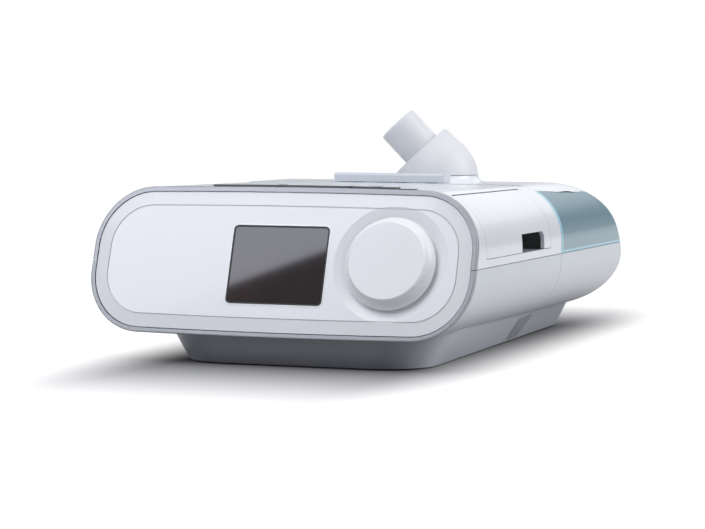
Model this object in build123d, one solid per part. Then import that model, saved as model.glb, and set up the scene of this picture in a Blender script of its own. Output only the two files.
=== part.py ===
"""A bedside breathing machine (CPAP) with its heated humidifier docked behind it.

Millimetres. +X is the viewer's right, +Y runs from the front panel to the rear and +Z is up. The
origin is on the surface that the machine stands on, in the middle of its length and width.
"""

from build123d import *
from math import cos, degrees, radians, sin, sqrt, tan
import os

# ---- Driving dimensions -------------------------------------------------------------------------

# The whole case
width = 193.0               # across both sides
unit_length = 144.6         # middle of the front panel to the joint between the two units
humidifier_length = 136.0   # the joint to the rearmost point
front_reach = 12.2          # how far the dial's edge stands ahead of the middle of the front panel
case_top = 83.5             # crown of the front, above the floor
case_bottom = 14.0          # lowest line of the belly, above the floor
corner_radius = 28.5        # the four long corners of the case, seen from the front
crown_radius = 4000.0       # the slight crown of the top and the belly
wall = 2.4                  # moulded wall of every case part
split_height = 47.5         # parting plane between the upper and lower case
seam = 0.3                  # visible gap between two case parts that part or move
fit = 0.05                  # radial play of a pin or shaft in its bore
contact = 0.02              # play between inner parts that sit on each other

# Rear of the humidifier, seen from the side
lid_height = 82.2           # the deck at the joint, and the lid behind it
belly_height = 15.3         # the belly at the joint and behind it
tip_height = 40.0           # height of the rearmost point
top_fall_length = 86.0      # how far ahead of the rear the top starts to fall
belly_rise_length = 50.0    # how far ahead of the rear the belly starts to rise
rear_edge_radius = 12.0     # rounding of the edge between the lid's fall and the sides

# Foot of the case
plinth_front = 2.5          # how far the plinth's front edge stands ahead of the panel's middle
plinth_front_left = 53.0    # from the middle to its left edge at the front, on the floor
plinth_front_right = 71.0   # and to its right edge, under the dial
plinth_rear_width = 122.0   # across it at its rear
plinth_rear_gap = 8.0       # the plinth's rear edge to the rearmost point
plinth_corner = 26.0        # its two front corners
plinth_rear_corner = 14.0
plinth_side_lean = 35.0     # degrees that its sides lean out
plinth_front_lean = 18.0    # degrees that its front leans out
plinth_rear_lean = 20.0     # degrees that its rear leans in under the rear tip
plinth_sunk = 6.0           # how far it runs up inside the case
foot_radius = 6.5
foot_proud = 0.8            # how far the rubber feet stand out below the plinth
foot_depth = 1.4            # depth of their pockets

# Front panel
panel_tilt = 18.2           # degrees that it leans back
rim_width = 2.2
rim_depth = 2.5
rim_edge = 0.6
panel_gap = 0.35            # dark line between the rim and the panel
panel_thickness = 2.4
panel_border = 6.3          # from the panel's edge to its fine groove
panel_bevel = 0.5           # how far the border falls towards the rim
groove_width = 0.4
groove_depth = 0.35

# Screen
screen_u, screen_v = -0.4, -1.4
screen_width, screen_height = 48.2, 37.9
screen_corner = 2.2
lens_thickness = 1.2
lens_sunk = 0.15
lens_ledge = 1.6
display_thickness = 4.2
display_margin = 1.5

# Dial
dial_side = 41.1            # its axis to the side of the case
dial_v = 0.4
dial_radius = 18.8
dial_base_radius = 22.0
dial_height = 6.7
dial_edge = 0.6
dial_wall = 1.8
dial_gap = 0.4              # under its skirt, above the level of the panel
dish_radius = 28.0
dish_depth = 1.3
hub_radius = 5.0
shaft_radius = 3.0
shaft_top = 4.2             # above the level of the panel
shaft_bottom = -11.0
plunger_length = 1.0
encoder_size = 13.0
encoder_height = 6.5
press_travel = 0.8          # travel of the dial and of each button
board_thickness = 1.6

# Buttons in the deck
button_front = 20.0         # front edge of the button row, behind the panel's middle
button_depth = 11.0
button_proud = 1.1
therapy_left, therapy_right = -43.0, 27.0
ramp_left, ramp_right = 28.2, 50.0
sensor_left, sensor_right = 51.6, 58.4
button_corner = 2.6
button_skirt = 3.2          # height of a button below the deck
button_play = 0.3
bezel_border = 1.6
bezel_height = 4.4
switch_size = 6.0
switch_height = 3.4

# Side door over the filters and the memory card
door_front = 17.0           # behind the panel's middle
door_gap = 19.6             # its rear edge to the joint
door_bottom = 51.6
door_hinge_angle = 25.0     # from straight up, round the corner of the case
door_thickness = 1.9
door_roll = 1.6             # radius of the rolled hinge edge
door_swing = 0.5            # room round that edge as it turns
door_pin_radius = 0.9
door_pin_length = 3.0
inlet_gap = 12.0            # its rear end to the door's rear edge
inlet_length = 38.5
inlet_top = 60.4
inlet_corner = 3.6
bay_depth = 20.0            # from the side wall to the bay's inner face
bay_wall = 1.6
filter_thickness = 7.0
filter_gap = 6.0            # its rear end to the door's rear edge
filter_height = 21.0
filter_frame_wall = 1.6
card_back = 17.0            # behind the door's front edge
card_gap = 10.0             # between the card and the filter
card_width, card_thickness, card_length = 24.0, 2.1, 32.0
card_proud = 2.5

# Blower
blower_x, blower_y = -40.0, 80.0        # behind the panel's middle
blower_floor = 36.0
blower_height = 34.0
scroll_start, scroll_end = 31.0, 39.0
blower_wall = 2.0
inlet_hole_radius = 13.0
impeller_radius = 26.0
impeller_height = 11.0
impeller_eye = 12.0
blade_count = 9
blade_thickness = 1.2
motor_radius = 16.0
motor_height = 12.0
motor_shaft_radius = 1.5
outlet_radius = 9.5
outlet_wall = 1.5
outlet_height = 58.2
duct_length = 19.6          # the blower's port to the joint
outlet_reach = 9.0          # how far the outlet port stands into the humidifier
mount_radius = 4.5
mount_height = 5.0

# Humidifier
lid_thickness = 2.3
lid_front_width = 163.0     # across the lid at the joint
lid_rear_width = 171.0      # and from the elbow backwards
lid_side_bottom = 55.8      # lower edge of the lid beside its hinge
tank_wall = 2.0
tank_opening_width = 140.0
tank_opening_front = 20.0   # behind the joint
tank_opening_rear = 44.0    # ahead of the rearmost point
tub_width = 148.0           # lower part of the tank, inside the base
tub_rear = 36.0             # ahead of the rearmost point
tub_corner = 16.0
heater_top = 19.0
tank_seal_thickness = 1.2
heater_thickness = 3.0
heater_radius = 38.0
hinge_radius = 3.2
hinge_pin_radius = 1.25
hinge_height = 51.0
hinge_sunk = 3.6            # hinge axis inside the rear surface
hinge_zone = 51.5           # half width of the place that the hinge takes
hinge_span = 84.0
knuckle_count = 5
knuckle_gap = 0.3
hinge_groove = 1.5          # radial room round the lid's knuckles
knuckle_room = 0.9          # room in the lid round the base's knuckles

# Lid latch
latch_width = 62.0
latch_depth = 12.0
latch_height = 4.5
latch_corner = 2.0
latch_back = 7.4            # its front edge behind the joint
latch_lift = 0.3
tongue_width = 18.0
tongue_length = 5.5
tongue_back = 4.6           # behind the latch's front edge
tongue_thickness = 1.6
latch_pin_radius = 0.8
latch_lug_width = 7.0

# Air outlet elbow
elbow_x = 13.0
elbow_back = 50.4           # swivel axis behind the joint
pedestal_radius = 25.5
elbow_base_radius = 22.0
elbow_base_height = 85.8
elbow_tip_height = 110.5
elbow_bore = 9.0
neck_radius = 13.5
neck_lip = 1.2
stub_radius = 11.0
stub_length = 19.5
stub_edge = 1.8
stub_lean = 47.0            # degrees that the stub leans from the horizontal
stub_heading = 195.0        # degrees from +X, seen from above
elbow_centre = 89.6         # where the stub's axis meets the swivel axis
elbow_cut = 12.8            # from there to the slanted face that the stub stands on
elbow_mouth = 10.5

# Release tab, power inlet, screws
tab_top_width, tab_bottom_width = 19.0, 26.0
tab_bottom, tab_top = 2.2, 13.2
tab_thickness = 2.0
tab_back = 1.8              # behind the joint
tab_travel = 1.5
tab_stem = 7.5              # its stem behind its face, beyond its travel
jack_x, jack_z = -46.0, 31.0
jack_radius = 6.0
jack_bore = 3.8
jack_depth = 10.0
jack_length = 15.0
jack_flange = 2.0
jack_pin_radius = 0.6
post_radius = 4.0
screw_radius = 1.5
screw_head_radius = 2.8

# ---- Places worked out from them ----------------------------------------------------------------

face_y = (front_reach - unit_length - humidifier_length) / 2
joint_y = face_y + unit_length
rear_y = joint_y + humidifier_length
face_z = (case_top + case_bottom) / 2
half_width = width / 2
tilt = radians(panel_tilt)
corner_x = half_width - corner_radius
corner_z = case_top - corner_radius - corner_x**2 / (2 * crown_radius)
lower_split = Plane((0, 0, split_height - seam / 2))
upper_split = Plane((0, 0, split_height + seam / 2))
side_plane = Plane((0, 0, 0), x_dir=(0, 1, 0), z_dir=(1, 0, 0))
far = 400.0
dial_u = half_width - dial_side
door_rear = unit_length - door_gap
inlet_rear = door_rear - inlet_gap
inlet_front = inlet_rear - inlet_length
card_front = door_front + card_back
filter_front = card_front + card_width + card_gap
filter_rear = door_rear - filter_gap
elbow_y = unit_length + elbow_back


def face_plane(height=0.0, u=0.0, v=0.0):
    """Plane of the front panel, raised by height: its x runs right and its y up the panel."""
    normal = Vector(0, -cos(tilt), sin(tilt))
    up = Vector(0, sin(tilt), cos(tilt))
    origin = Vector(u, face_y, face_z) + up * v + normal * height
    return Plane(origin, x_dir=(1, 0, 0), z_dir=normal)


def across(y):
    """Plane across the case at y, facing the rear."""
    return Plane((0, y, 0), x_dir=(1, 0, 0), z_dir=(0, 1, 0))


def block(low, high):
    """Box between two corners."""
    size = [b - a for a, b in zip(low, high)]
    middle = [(a + b) / 2 for a, b in zip(low, high)]
    return Pos(*middle) * Box(*size)


def rod(start, direction, radius, length):
    return Solid.make_cylinder(radius, length, Plane(start, z_dir=direction))


def tube(start, direction, outer, inner, length):
    return rod(start, direction, outer, length) - rod(start, direction, inner, length)


def slab(plane, low, high, corner, start, end):
    """Rounded rectangle on a plane, from one height above it to another."""
    u, v = (low[0] + high[0]) / 2, (low[1] + high[1]) / 2
    outline = Pos(u, v) * RectangleRounded(high[0] - low[0], high[1] - low[1], corner)
    return extrude(plane.offset(start) * outline, amount=end - start)


def prism(low, high, corner, bottom, top):
    """Rounded rectangle in plan, from one height to another."""
    return slab(Plane.XY, low, high, corner, bottom, top)


def turned(outline, plane=Plane.XY):
    """Solid of revolution about a plane's normal, from an outline of radius and height."""
    return plane.location * revolve(Plane.XZ * outline, Axis.Z)


def above(shape, plane):
    return split(shape, bisect_by=plane, keep=Keep.TOP)


def below(shape, plane):
    return split(shape, bisect_by=plane, keep=Keep.BOTTOM)


def save(name, shape):
    export_step(shape, f"parts/{name}.step")


# ---- Outer form of the case ---------------------------------------------------------------------

def case_section(inset=0.0):
    """Front view of the case: a wide rounded shape with a crowned top and belly."""
    half = half_width - inset
    top, bottom = case_top - inset, case_bottom + inset
    sag = crown_radius - sqrt(crown_radius**2 - half**2)
    outline = make_face([
        ThreePointArc((-half, top - sag), (0, top), (half, top - sag)),
        Line((half, top - sag), (half, bottom + sag)),
        ThreePointArc((half, bottom + sag), (0, bottom), (-half, bottom + sag)),
        Line((-half, bottom + sag), (-half, top - sag)),
    ])
    return fillet(outline.vertices(), corner_radius - inset)


def case_tube(inset, start, end):
    """The case section drawn out along Y."""
    plane = Plane((0, start, 0), x_dir=(1, 0, 0), z_dir=(0, -1, 0))
    return extrude(plane * case_section(inset), amount=start - end)


def crowned_slab(inset, side):
    """All below the deck (side 1) or above the belly (side -1), which near each other rearwards."""
    start, end = (case_top, lid_height) if side > 0 else (case_bottom, belly_height)
    level = start - side * inset
    sag = side * (crown_radius - sqrt(crown_radius**2 - width**2))
    middle = (case_top + case_bottom) / 2 - side * width
    outline = make_face([
        ThreePointArc((-width, level - sag), (0, level), (width, level - sag)),
        Line((width, level - sag), (width, middle)),
        Line((width, middle), (-width, middle)),
        Line((-width, middle), (-width, level - sag)),
    ])
    run = Vector(0, unit_length + 20, end - start)
    plane = Plane((0, face_y - 20, 0), x_dir=(1, 0, 0), z_dir=(0, -1, 0))
    return extrude(plane * outline, amount=run.length * 1.1, dir=run.normalized())


def side_slab(inset=0.0, lowered=0.0):
    """Side view of the humidifier: flat lid, its fall to the rear, rear tip and rising belly."""
    start = joint_y - 5
    top = lid_height - inset - lowered
    tip = tip_height
    rear = rear_y - inset - lowered * 0.5
    belly = belly_height + inset
    fall = rear - (rear_y - top_fall_length)
    rise = rear - (rear_y - belly_rise_length)
    outline = make_face([
        Line((start, top), (rear - fall, top)),
        EllipticalCenterArc((rear - fall, tip), fall, top - tip, start_angle=0, arc_size=90),
        EllipticalCenterArc((rear - rise, tip), rise, tip - belly, start_angle=270, arc_size=90),
        Line((rear - rise, belly), (start, belly)),
        Line((start, belly), (start, top)),
    ])
    return extrude(side_plane * outline, amount=width, both=True)


def plinth_outline(height, inset):
    """Plan of the foot at a height: narrower behind, and wider as it rises to the belly."""
    rise = height - foot_proud
    side = rise * tan(radians(plinth_side_lean)) - inset
    front = face_y - plinth_front - rise * tan(radians(plinth_front_lean)) + inset
    rear = rear_y - plinth_rear_gap - rise * tan(radians(plinth_rear_lean)) - inset
    left, right = plinth_front_left + side, plinth_front_right + side
    back = plinth_rear_width / 2 + side
    outline = make_face(Polyline(
        (-left, front), (right, front), (back, rear), (-back, rear), close=True))
    corners = outline.vertices().sort_by(Axis.Y)
    outline = fillet(corners[:2], plinth_corner + side)
    corners = outline.vertices().group_by(Axis.Y)[-1]
    return Pos(0, 0, height) * fillet(corners, plinth_rear_corner + side)


def plinth(inset=0.0):
    """The foot of the case, whose sides lean out as they rise into the belly."""
    low, high = foot_proud + inset, belly_height + plinth_sunk
    return loft([plinth_outline(low, inset), plinth_outline(high, inset)], ruled=True)


def rear_creases(shape):
    """Edges between the humidifier's sides and its falling lid, rear tip and rising belly."""
    return [
        e for e in shape.edges()
        if abs(e.center().X) > corner_x + 2 and e.center().Y > joint_y + 1
        and (e.geom_type != GeomType.LINE or not lid_height > e.center().Z + 1 > belly_height + 3)
    ]


def humidifier_form(inset=0.0, lowered=0.0):
    """Humidifier as a solid without its foot, with the edge of its lid rounded over."""
    body = case_tube(inset, joint_y, rear_y) & side_slab(inset, lowered)
    return fillet(rear_creases(body), rear_edge_radius - inset)


def unit_form(inset=0.0):
    """Front unit as a solid without its foot: the case cut by the deck and the belly."""
    return case_tube(inset, face_y - 19, joint_y) & crowned_slab(inset, 1) & crowned_slab(inset, -1)


def unit_solid(inset=0.0):
    """Front unit behind its rim, with its foot, inset all round but open to the front."""
    body = unit_form(inset) + below(plinth(inset), across(joint_y))
    body = below(body, face_plane(-rim_depth))
    return below(body, across(joint_y - seam / 2 - inset))


def humidifier_solid(inset=0.0):
    body = humidifier_form(inset) + above(plinth(inset), across(joint_y))
    return above(body, across(joint_y + seam / 2 + inset))


# ---- Shared forms, each made once ---------------------------------------------------------------

unit_outer = unit_solid()
unit_inner = unit_solid(wall)
humidifier_outer = humidifier_solid()
humidifier_inner = humidifier_solid(wall)


# ---- Front panel --------------------------------------------------------------------------------

def panel_face(inset, height):
    """The case's outline, inset, on the plane of the panel."""
    cut = below(case_tube(inset, face_y - 40, face_y + 60), face_plane(height))
    return cut.faces().sort_by(Axis((0, face_y, face_z), face_plane().z_dir))[-1]


def rim():
    """Grey frame round the panel, in an upper and a lower half."""
    ring = below(case_tube(0, face_y - 40, face_y + 60), face_plane())
    ring = above(ring, face_plane(-rim_depth))
    front = ring.faces().sort_by(Axis((0, face_y, face_z), face_plane().z_dir))[-1]
    ring = fillet(front.edges(), rim_edge)
    ring -= case_tube(rim_width, face_y - 40, face_y + 60)
    save("rim_upper", above(ring, upper_split))
    save("rim_lower", below(ring, lower_split))


def front_panel():
    """Glossy white panel with a sloping border, a fine groove, the screen and the dial's dish."""
    edge = rim_width + panel_gap
    border = edge + panel_border
    body = below(case_tube(edge, face_y - 40, face_y + 60), face_plane(-panel_bevel))
    body = above(body, face_plane(-panel_thickness))
    body += loft([panel_face(edge, -panel_bevel), panel_face(border, 0)], ruled=True)
    groove = case_tube(border - groove_width / 2, face_y - 40, face_y + 60)
    groove -= case_tube(border + groove_width / 2, face_y - 40, face_y + 60)
    body -= above(groove, face_plane(-groove_depth))
    dish = make_face(Polyline(
        (0, -dish_depth), (dial_base_radius + 1, -dish_depth), (dish_radius, 0),
        (dish_radius, 1), (0, 1), close=True))
    body -= turned(dish, face_plane(0, dial_u, dial_v))
    body -= lens_block(lens_thickness + lens_sunk + contact, 1, 0.12)
    body -= lens_block(panel_thickness + 1, 1, -lens_ledge)
    body -= rod(face_plane(-panel_thickness - 1, dial_u, dial_v).origin, face_plane().z_dir,
                shaft_radius + 0.6, panel_thickness + 2)
    for u, v in panel_posts:
        body += rod(face_plane(board_level, u, v).origin, face_plane().z_dir,
                    post_radius * 0.6, -board_level - panel_thickness)
    save("front_panel", body)


board_level = shaft_bottom - plunger_length - press_travel - 0.4
panel_posts = [(-33, -24), (-33, 22), (33, 24), (dial_u + 10.6, -22)]


def lens_block(depth, height, grow):
    low = (screen_u - screen_width / 2 - grow, screen_v - screen_height / 2 - grow)
    high = (screen_u + screen_width / 2 + grow, screen_v + screen_height / 2 + grow)
    return slab(face_plane(), low, high, screen_corner + grow * 0.5, -depth, height)


def screen():
    """Black glass lens, the display behind it and the board that carries both."""
    save("screen_lens", lens_block(lens_sunk + lens_thickness, -lens_sunk, 0))
    back = panel_thickness + contact
    save("display_module", lens_block(back + display_thickness, -back, display_margin))
    board = slab(face_plane(), (-36, -27), (dial_u + 15.6, 27), 3, board_level - board_thickness,
                 board_level - contact)
    save("control_board", board)


def dial():
    """Rotary push dial: hollow knob, its shaft, the plunger under it and the encoder."""
    plane = face_plane(0, dial_u, dial_v)
    top, inner = dial_height, dial_height - dial_wall
    skirt = dial_gap
    bore = shaft_radius + contact
    outline = make_face([
        Line((0, top), (dial_radius - dial_edge, top)),
        Line((dial_radius - dial_edge, top), (dial_radius, top - dial_edge)),
        ThreePointArc((dial_radius, top - dial_edge),
                      (dial_radius + 0.9, (top + skirt) / 2),
                      (dial_base_radius, skirt + 0.7)),
        Line((dial_base_radius, skirt + 0.7), (dial_base_radius, skirt)),
        Line((dial_base_radius, skirt), (dial_base_radius - dial_wall, skirt)),
        Line((dial_base_radius - dial_wall, skirt), (dial_radius - dial_wall, inner)),
        Line((dial_radius - dial_wall, inner), (hub_radius, inner)),
        Line((hub_radius, inner), (hub_radius, 0)),
        Line((hub_radius, 0), (bore, 0)),
        Line((bore, 0), (bore, shaft_top + contact)),
        Line((bore, shaft_top + contact), (0, shaft_top + contact)),
        Line((0, shaft_top + contact), (0, top)),
    ])
    save("control_dial", turned(outline, plane))
    normal = plane.z_dir
    shaft_start = face_plane(shaft_bottom, dial_u, dial_v).origin
    save("dial_shaft", rod(shaft_start, normal, shaft_radius, shaft_top - shaft_bottom))
    plunger_start = face_plane(shaft_bottom - contact - plunger_length, dial_u, dial_v).origin
    save("dial_plunger", rod(plunger_start, normal, shaft_radius - 0.4, plunger_length))
    half = encoder_size / 2
    low, high = (dial_u - half, dial_v - half), (dial_u + half, dial_v + half)
    body = slab(face_plane(), low, high, 0.8, board_level, board_level + encoder_height)
    body += rod(face_plane(board_level, dial_u, dial_v).origin, normal, shaft_radius + 1.5,
                -board_level - panel_thickness - contact)
    body -= rod(face_plane(board_level + 0.2, dial_u, dial_v).origin, normal, shaft_radius + fit,
                20)
    save("dial_encoder", body)


# ---- Deck buttons -------------------------------------------------------------------------------

def deck_piece(low, high, zone):
    """The wall of the front unit inside a zone, between two depths below its surface."""
    return (unit_form(low) & zone) - unit_form(high)


def deck_prism(left, right, grow):
    front = face_y + button_front
    return prism((left - grow, front - grow), (right + grow, front + button_depth + grow),
                 button_corner + grow, split_height, case_top + 10)


def deck_buttons():
    """Two rocker-free push buttons and a sensor window in one bezel, over a switch board."""
    bezel = deck_piece(0, bezel_height + 1.2, deck_prism(therapy_left, sensor_right, bezel_border))
    middle = face_y + button_front + button_depth / 2
    board_top = split_height + 26
    for name, left, right in (("therapy_button", therapy_left, therapy_right),
                              ("ramp_button", ramp_left, ramp_right)):
        cap = deck_piece(-button_proud, button_skirt, deck_prism(left, right, 0))
        stem_x = (left + right) / 2
        stem_low = board_top + switch_height + press_travel + 0.05
        stem = rod((stem_x, middle, stem_low), (0, 0, 1), 2.0, case_top - 2 - stem_low)
        save(name, cap + stem)
        bezel -= deck_piece(-1, bezel_height, deck_prism(left, right, button_play))
        bezel -= rod((stem_x, middle, 60), (0, 0, 1), 2.4, 30)
    bezel -= deck_piece(-1, 2.5, deck_prism(sensor_left, sensor_right, contact))
    for x in (-30, 18, 46):
        bezel += rod((x, middle, board_top), (0, 0, 1), 2.2, 5.2)
    save("button_bezel", bezel)
    window = deck_prism(sensor_left, sensor_right, 0)
    save("sensor_window", deck_piece(-0.4, 2.5 - contact, window))
    board = prism((-34, middle - 5), (50, middle + 5), 1.5, board_top - board_thickness,
                  board_top - contact)
    for left, right in ((therapy_left, therapy_right), (ramp_left, ramp_right)):
        x = (left + right) / 2
        half = switch_size / 2
        board += block((x - half, middle - half, board_top - 0.5),
                       (x + half, middle + half, board_top + switch_height - 0.6))
        board += rod((x, middle, board_top), (0, 0, 1), 1.75, switch_height)
    save("switch_board", board)


# ---- Side door, filters and memory card ---------------------------------------------------------

hinge_turn = radians(door_hinge_angle)
door_axis_x = corner_x + (corner_radius - door_roll) * sin(hinge_turn)
door_axis_z = corner_z + (corner_radius - door_roll) * cos(hinge_turn)
bay_x = half_width - bay_depth
ear_radius = 3.0


def door_zone(gap):
    """Wedge seen from the front that holds the door, from its hinge round to its lower edge."""
    out = (sin(hinge_turn), cos(hinge_turn))
    axis = (door_axis_x - gap * out[1], door_axis_z + gap * out[0])
    tip = (axis[0] + 30 * out[0], axis[1] + 30 * out[1])
    low = door_bottom - gap
    outline = make_face(Polyline(
        axis, tip, (far, tip[1]), (far, low), (bay_x + 3, low), close=True))
    start, end = face_y + door_front - gap, face_y + door_rear + gap
    plane = Plane((0, start, 0), x_dir=(1, 0, 0), z_dir=(0, -1, 0))
    return extrude(plane * outline, amount=start - end)


def door_rod(radius, gap=0.0):
    start, end = face_y + door_front - gap, face_y + door_rear + gap
    return rod((door_axis_x, start, door_axis_z), (0, 1, 0), radius, end - start)


def side_door():
    """Curved door that lifts for the filters and the card, with the air inlet in its edge."""
    panel = deck_piece(0, door_thickness, door_zone(0))
    panel += door_rod(door_roll)
    notch_low, notch_high = face_y + inlet_front, face_y + inlet_rear
    outline = Pos((notch_low + notch_high) / 2, 0) * make_face(Polyline(
        (-(notch_high - notch_low) / 2, door_bottom - 5), ((notch_high - notch_low) / 2,
                                                           door_bottom - 5),
        ((notch_high - notch_low) / 2, inlet_top), (-(notch_high - notch_low) / 2, inlet_top),
        close=True))
    corner = outline.vertices().group_by(Axis.Y)[-1].sort_by(Axis.X)
    outline = fillet([corner[-1]], inlet_corner)
    outline = fillet([outline.vertices().group_by(Axis.Y)[-1].sort_by(Axis.X)[0]], 1.0)
    panel -= extrude(side_plane * outline, amount=far)
    panel += door_rod(door_pin_radius, door_pin_length)
    save("side_door", panel)


def door_bay():
    """Open tray behind the door, with a slotted wall behind the filter."""
    inner = unit_form(wall + contact)
    start, end = face_y + door_front - 1, face_y + door_rear + 1
    top = door_axis_z - ear_radius - 0.3
    body = inner & block((bay_x - bay_wall, start - bay_wall, door_bottom - 0.4 - bay_wall),
                         (far, end + bay_wall, top))
    body -= block((bay_x, start, door_bottom - 0.4), (far, end, top - bay_wall))
    slots = 6
    pitch = (filter_rear - filter_front - 8) / slots
    for i in range(slots):
        low = face_y + filter_front + 4 + i * pitch
        body -= block((bay_x - 5, low + 1, door_bottom + 4.4),
                      (bay_x + 1, low + pitch - 1, door_bottom + filter_height - 1.6))
    card_mid = face_y + card_front + card_width / 2
    body -= block((bay_x - 5, card_mid - card_width / 2 - 0.3, card_z - card_thickness),
                  (bay_x + 1, card_mid + card_width / 2 + 0.3, card_z + card_thickness))
    save("door_bay", body)


card_z = 62.0


def filters_and_card():
    """Framed foam filter against the slotted wall, and the card in its socket."""
    low_y, high_y = face_y + filter_front, face_y + filter_rear
    low_z = door_bottom - 0.4 + contact
    x0, x1 = bay_x + contact, bay_x + filter_thickness
    frame = block((x0, low_y, low_z), (x1, high_y, low_z + filter_height))
    inside = filter_frame_wall
    foam_low = (x0 + 0.5, low_y + inside, low_z + inside)
    foam_high = (x1 - 0.4, high_y - inside, low_z + filter_height - inside)
    hole_low = (x0 - 1, foam_low[1], foam_low[2])
    hole_high = (x1 + 1, foam_high[1], foam_high[2])
    frame -= block(hole_low, hole_high)
    save("filter_frame", frame)
    foam = block([a + contact for a in foam_low], [a - contact for a in foam_high])
    save("foam_filter", foam)
    y0 = face_y + card_front
    tip = bay_x + card_proud
    card = block((tip - card_length, y0, card_z - card_thickness / 2),
                 (tip, y0 + card_width, card_z + card_thickness / 2))
    card = chamfer(card.edges().filter_by(Axis.Z).sort_by(Axis.X)[:1], 4.0)
    save("memory_card", card)
    back = bay_x - bay_wall - contact
    socket = block((tip - card_length - 2, y0 - 1.6, card_z - 2.6),
                   (back, y0 + card_width + 1.6, card_z + 2.6))
    socket -= block((tip - card_length - 0.3, y0 - 0.2, card_z - card_thickness / 2 - 0.1),
                    (back + 1, y0 + card_width + 0.2, card_z + card_thickness / 2 + 0.1))
    save("card_socket", socket)


# ---- Upper and lower case of the front unit -----------------------------------------------------

screw_places = [(-44, 37.3), (60, 66), (-44, unit_length - 10.6), (58, unit_length - 10.6)]
mount_turns = [90, 210, 330]
mount_circle = 24.0
unit_feet_places = [(-40, 24), (50, 24), (-42, unit_length - 18.6), (46, unit_length - 18.6)]


def mount_place(turn):
    return (blower_x + mount_circle * cos(radians(turn)),
            face_y + blower_y + mount_circle * sin(radians(turn)))


def upper_case():
    """Deck and shoulders of the front unit, open for the door, the buttons and the outlet."""
    shell = above(unit_outer, upper_split) - unit_inner
    row = deck_prism(therapy_left, sensor_right, bezel_border + contact)
    shell -= deck_piece(-1, wall + 1, row)
    for start in (face_y + door_front - seam - 5, face_y + door_rear + seam):
        shell += rod((door_axis_x, start, door_axis_z), (0, 1, 0), ear_radius, 5) & unit_outer
    shell -= deck_piece(-1, wall + 1, door_zone(seam))
    shell -= door_rod(door_roll + door_swing, seam)
    shell -= door_rod(door_pin_radius + fit, door_pin_length + 0.4)
    for x, y in screw_places:
        post = rod((x, face_y + y, upper_split.origin.Z), (0, 0, 1), post_radius, 40)
        shell += post & above(unit_form(wall / 2), upper_split)
        shell -= rod((x, face_y + y, 0), (0, 0, 1), screw_radius + contact, 66)
    shell -= rod((outlet_x, joint_y - 10, outlet_height), (0, 1, 0), outlet_radius + 0.3, 20)
    save("upper_case", shell)


def lower_case():
    """Belly and foot of the front unit, with posts for the screws, the board and the blower."""
    shell = below(unit_outer, lower_split) - unit_inner
    floor = foot_proud + wall / 2
    solid = below(unit_solid(wall / 2), lower_split)
    for x, y in screw_places:
        shell += rod((x, face_y + y, floor), (0, 0, 1), post_radius, far / 4) & solid
        shell -= rod((x, face_y + y, 0), (0, 0, 1), screw_radius + contact, 66)
        shell -= rod((x, face_y + y, 0), (0, 0, 1), screw_head_radius + 0.2, screw_sunk)
    for turn in mount_turns:
        x, y = mount_place(turn)
        post = rod((x, y, floor), (0, 0, 1), mount_radius, blower_floor - mount_height - floor)
        shell += post & solid
    for x, y in board_posts:
        shell += rod((x, y, floor), (0, 0, 1), 3.0, main_board_z - floor)
    for x, y in unit_feet_places:
        shell -= rod((x, face_y + y, 0), (0, 0, 1), foot_radius + 0.1, foot_proud + foot_depth)
    shell -= dock_block(-6, 3)
    save("lower_case", shell)


screw_sunk = 6.0
main_board_z = 8.0
dock_x = 34.0
dock_height = 8.8
board_posts = [(6, face_y + 24), (48, face_y + 24), (6, joint_y - 22.6), (48, joint_y - 22.6)]
outlet_x = blower_x + scroll_end - outlet_radius


def feet_and_screws():
    """Rubber feet and the screws that hold the two halves of the front unit together."""
    height = foot_proud + foot_depth - contact
    feet = [rod((x, face_y + y, 0), (0, 0, 1), foot_radius, height) for x, y in unit_feet_places]
    save("unit_feet", Compound(children=[Solid(f.wrapped) for f in feet]))
    feet = [rod((x, y, 0), (0, 0, 1), foot_radius, height) for x, y in humidifier_feet_places]
    save("humidifier_feet", Compound(children=[Solid(f.wrapped) for f in feet]))
    screws = []
    for x, y in screw_places:
        head = rod((x, face_y + y, screw_sunk - 2.2), (0, 0, 1), screw_head_radius, 2.18)
        screws.append(head + rod((x, face_y + y, screw_sunk - 2), (0, 0, 1), screw_radius, 54))
    save("case_screws", Compound(children=[s.solid() for s in screws]))


humidifier_feet_places = [(-44, joint_y + 34), (44, joint_y + 34), (-38, rear_y - 36),
                          (38, rear_y - 36)]


# ---- Inside the front unit ----------------------------------------------------------------------

def scroll_outline(inset):
    """Spiral seen from above, of four arcs whose radius grows towards the outlet."""
    def point(turn):
        radius = scroll_start + (scroll_end - scroll_start) * turn / 360 - inset
        return radius * cos(radians(turn)), radius * sin(radians(turn))

    arcs = [ThreePointArc(point(a), point(a + 45), point(a + 90)) for a in range(0, 360, 90)]
    return Pos(blower_x, face_y + blower_y) * make_face(
        arcs + [Line(point(360), point(0))])


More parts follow.
